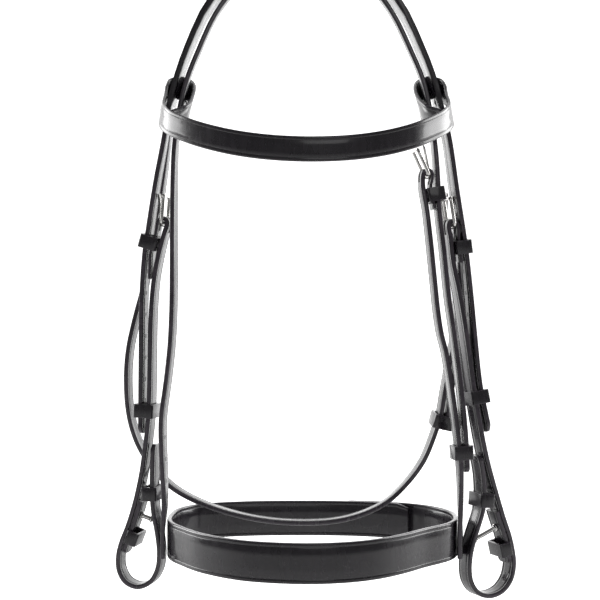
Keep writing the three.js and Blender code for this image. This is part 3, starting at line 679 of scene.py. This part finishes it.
def bent_copy(name, node, settings):
    """A keeper whose square outer corners are bent round and whose rims are rounded, and half its height.

    Its map runs round it and along it.
    """
    middle, way = way_through(node)
    mesh = whole_faced_mesh(node)
    corners = [
        edge for edge in mesh.edges
        if edge.is_convex and edge.calc_face_angle(0) > SQUARE_CORNER and abs(way_of(edge).dot(way)) > ALONG
    ]
    if corners:
        bmesh.ops.bevel(
            mesh, geom=corners, offset=settings.keeper_bend, segments=4, profile=0.5, affect="EDGES",
            clamp_overlap=True,
        )
    obj = rounded_piece(name, mesh, settings.keeper_round, 3, SMOOTH)
    layer = obj.data.uv_layers.new(name="strap")
    side = way.orthogonal()
    half_height = 0.0
    for loop in obj.data.loops:
        place = obj.data.vertices[loop.vertex_index].co - middle
        half_height = max(half_height, abs(place.dot(way)))
        layer.data[loop.index].uv = (place.dot(side), place.dot(way))
    return obj, half_height


def crown_map(obj):
    """A strap map that shows no edge, stitch or hole: it runs by height along the middle line."""
    layer = obj.data.uv_layers.new(name="strap")
    for loop in obj.data.loops:
        layer.data[loop.index].uv = (obj.data.vertices[loop.vertex_index].co.z, 0.0)


def finished(obj, material, body, slot, *nodes):
    obj.data.materials.clear()
    obj.data.materials.append(material)
    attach(obj, body)
    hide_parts(*nodes)


def body_with(node):
    for body, members in frame["record"]["behaviour"]["bodies"].items():
        if node in members:
            return body
    raise RuntimeError(f"no body holds {node}")


# ---------------------------------------------------------------- operators


class BRIDLE_OT_straps(bpy.types.Operator):
    """Makes every strap that is one length of leather"""

    bl_idname = "bridle.straps"
    bl_label = "Straps"

    def execute(self, context):
        settings = context.scene.bridle
        for node, look in STRAPS.items():
            rings = Rings(node)
            caps = rings.ends()
            if not caps:
                raise RuntimeError(f"{node} has no end")
            places = rings.strap(max(caps, key=lambda cap: len(rings.walk(cap))))
            obj, half_width = fine_strap(node + "_leather", places, settings, look["crease"])
            if node in FOLDS:
                cut_slot(obj, places, FOLDS[node])
            smoothed(obj, SMOOTH)
            holes = look.get("holes", NO_HOLES)
            stitched = look.get("stitched", 0.0)
            material = leather_material(settings, node + " leather", half_width, stitched, holes)
            finished(obj, material, BODY, "leather", node)
        return {"FINISHED"}


class BRIDLE_OT_headpiece(bpy.types.Operator):
    """Makes the headpiece: the wide crown and the three branches that hang from it"""

    bl_idname = "bridle.headpiece"
    bl_label = "Headpiece"

    FORK = -0.1215  # the branches are apart below this height
    TIPS = 2 * FORK  # the branches' tips are below this height
    HIDDEN = 0.004  # how far each branch runs up into the crown
    CREASE = 0.0018
    HOLES = (0.012, 0.14)  # from a branch's tip, where its holes start and stop
    SAME_TIP = 0.02  # two caps nearer than this belong to one tip

    def execute(self, context):
        settings = context.scene.bridle
        rings = Rings("headpiece")
        tips = []
        for cap in rings.ends():
            near = any((cap[0].co - other[0].co).length < self.SAME_TIP for other in tips)
            if cap[0].co.z < self.TIPS and not near:
                tips.append(cap)
        if len(tips) != 3:
            raise RuntimeError(f"the headpiece has {len(tips)} branches, not 3")
        crown = rounded_copy("headpiece_crown", "headpiece", settings.edge_round, 2)
        chosen(crown)
        bpy.ops.object.mode_set(mode="EDIT")
        bpy.ops.mesh.select_all(action="SELECT")
        bpy.ops.mesh.bisect(
            plane_co=(0, 0, self.FORK), plane_no=(0, 0, 1), clear_inner=True, use_fill=True
        )
        bpy.ops.object.mode_set(mode="OBJECT")
        smoothed(crown, SMOOTH)
        crown_map(crown)
        finished(crown, leather_material(settings, "crown leather"), BODY, "leather", "headpiece")
        for i, cap in enumerate(sorted(tips, key=lambda tip: (tip[0].co.x, tip[0].co.y))):
            places = [place for place in rings.strap(cap) if place[0].z < self.FORK + self.HIDDEN]
            name = f"headpiece_branch_{i + 1}"
            obj, half_width = fine_strap(name, places, settings, self.CREASE)
            smoothed(obj, SMOOTH)
            material = leather_material(settings, name + " leather", half_width, holes=self.HOLES)
            finished(obj, material, BODY, "leather", "headpiece")
        return {"FINISHED"}


class BRIDLE_OT_keepers(bpy.types.Operator):
    """Makes the sewn keepers and the sliding runners"""

    bl_idname = "bridle.keepers"
    bl_label = "Keepers"

    def execute(self, context):
        settings = context.scene.bridle
        for node in sorted(frame["nodes"]):
            if "keeper" in node or "runner" in node:
                obj, half_height = bent_copy(node + "_leather", node, settings)
                # Along the keeper's rims the lightened edge band paints a sheen as well as wear.
                material = leather_material(settings, node + " leather", half_height)
                finished(obj, material, body_with(node), "leather", node)
        return {"FINISHED"}


class BRIDLE_OT_buckles(bpy.types.Operator):
    """Makes the buckle frames, their tongues and the hook studs"""

    bl_idname = "bridle.buckles"
    bl_label = "Buckles and studs"

    def execute(self, context):
        settings = context.scene.bridle
        material = metal_material(settings)
        for node in sorted(frame["nodes"]):
            if node.endswith(("_frame", "_tongue", "_stud")):
                obj = rounded_copy(node + "_metal", node, settings.metal_round)
                finished(obj, material, body_with(node), "steel", node)
        return {"FINISHED"}


class BRIDLE_OT_studio(bpy.types.Operator):
    """Makes the pale floor that curves up behind, the lights and the camera"""

    bl_idname = "bridle.studio"
    bl_label = "Studio"

    def execute(self, context):
        settings = context.scene.bridle
        context.scene.view_settings.view_transform = "Standard"
        self.backdrop(settings)
        self.lights(context, settings)
        self.camera(context, settings)
        return {"FINISHED"}

    FLOOR_Z, WALL_Y, BEND = -0.62, 2.6, 1.2
    FRONT_Y, TOP_Z, HALF_WIDTH = -4.0, 4.5, 6.0
    BEND_STEPS = 16
    GLOW = (1.0, 1.7)  # the backdrop comes to light over this stretch towards the wall
    MIDDLE = Vector((0, 0, -0.27))  # of the bridle

    def backdrop(self, settings):
        bpy.ops.object.select_all(action="DESELECT")
        bpy.ops.mesh.primitive_plane_add(size=1)
        sweep = bpy.context.object
        sweep.name = "studio_floor"
        verts, faces = [], []
        flat_end = self.WALL_Y - self.BEND
        profile = [(self.FRONT_Y, self.FLOOR_Z), (flat_end, self.FLOOR_Z)]
        for i in range(1, self.BEND_STEPS + 1):
            angle = math.pi / 2 * i / self.BEND_STEPS
            forward, rise = self.BEND * math.sin(angle), self.BEND * (1 - math.cos(angle))
            profile.append((flat_end + forward, self.FLOOR_Z + rise))
        profile.append((self.WALL_Y, self.TOP_Z))
        for y, z in profile:
            verts += [(-self.HALF_WIDTH, y, z), (self.HALF_WIDTH, y, z)]
        for i in range(len(profile) - 1):
            faces.append((2 * i, 2 * i + 1, 2 * i + 3, 2 * i + 2))
        sweep.data.clear_geometry()
        sweep.data.from_pydata(verts, [], faces)
        smoothed(sweep, 30)
        paint = bpy.data.materials.new("Studio paint")
        paint.use_nodes = True
        shader = paint.node_tree.nodes["Principled BSDF"]
        shader.inputs["Base Color"].default_value = (0.86, 0.86, 0.86, 1)
        shader.inputs["Roughness"].default_value = 0.9
        make = Sums(paint.node_tree)
        split = make.node("ShaderNodeSeparateXYZ")
        make.join(make.node("ShaderNodeTexCoord").outputs["Object"], split.inputs[0])
        lit = make.ramp(split.outputs[1], *self.GLOW, 0.0, settings.backdrop)
        seen = make.node("ShaderNodeLightPath").outputs["Is Camera Ray"]
        seen = make.math("MULTIPLY", seen, settings.backdrop)
        make.join(make.math("MAXIMUM", lit, seen), shader.inputs["Emission Strength"])
        shader.inputs["Emission Color"].default_value = (1, 1, 1, 1)
        sweep.data.materials.append(paint)

    def lights(self, context, settings):
        world = context.scene.world or bpy.data.worlds.new("Studio")
        context.scene.world = world
        world.use_nodes = True
        back = world.node_tree.nodes["Background"]
        back.inputs["Color"].default_value = (1, 1, 1, 1)
        make = Sums(world.node_tree)
        seen = make.node("ShaderNodeLightPath").outputs["Is Camera Ray"]
        make.join(make.ramp(seen, 0.0, 1.0, settings.surround, 1.0), back.inputs["Strength"])
        places = [
            ("key_light", (0.35, -1.9, 0.75), 1.1, settings.key_power),
            ("side_light", (1.55, 0.75, 0.35), 1.2, settings.side_power),
            ("off_side_light", (-1.55, 0.75, 0.35), 1.2, settings.side_power),
        ]
        for name, place, size, power in places:
            light = bpy.data.lights.new(name, "AREA")
            light.size = size
            light.energy = power
            obj = linked(name, light)
            obj.location = place
            obj.rotation_euler = (self.MIDDLE - Vector(place)).to_track_quat("-Z", "Y").to_euler()

    def camera(self, context, settings):
        lens = bpy.data.cameras.new("camera")
        lens.sensor_width = 36
        lens.lens = settings.lens
        lens.shift_y = settings.lens_shift
        lens.dof.use_dof = False
        obj = linked("camera", lens)
        obj.location = (settings.camera_side, -settings.camera_distance, settings.camera_height)
        obj.rotation_euler = (math.pi / 2, 0, 0)
        context.scene.camera = obj


class BRIDLE_PT_panel(bpy.types.Panel):
    bl_label = "Snaffle bridle"
    bl_idname = "BRIDLE_PT_panel"
    bl_space_type = "VIEW_3D"
    bl_region_type = "UI"
    bl_category = "Bridle"

    def draw(self, context):
        settings = context.scene.bridle
        for name in settings.bl_rna.properties.keys():
            if name not in ("rna_type", "name"):
                self.layout.prop(settings, name)
        for operator in OPERATORS:
            self.layout.operator(operator.bl_idname)


OPERATORS = (
    BRIDLE_OT_straps,
    BRIDLE_OT_headpiece,
    BRIDLE_OT_keepers,
    BRIDLE_OT_buckles,
    BRIDLE_OT_studio,
)


def register():
    for kind in (BridleSettings, *OPERATORS, BRIDLE_PT_panel):
        bpy.utils.register_class(kind)
    bpy.types.Scene.bridle = bpy.props.PointerProperty(type=BridleSettings)


def unregister():
    del bpy.types.Scene.bridle
    for kind in (BRIDLE_PT_panel, *reversed(OPERATORS), BridleSettings):
        bpy.utils.unregister_class(kind)


def main():
    register()
    bpy.ops.bridle.straps()
    bpy.ops.bridle.headpiece()
    bpy.ops.bridle.keepers()
    bpy.ops.bridle.buckles()
    bpy.ops.bridle.studio()


if __name__ == "__main__":
    main()
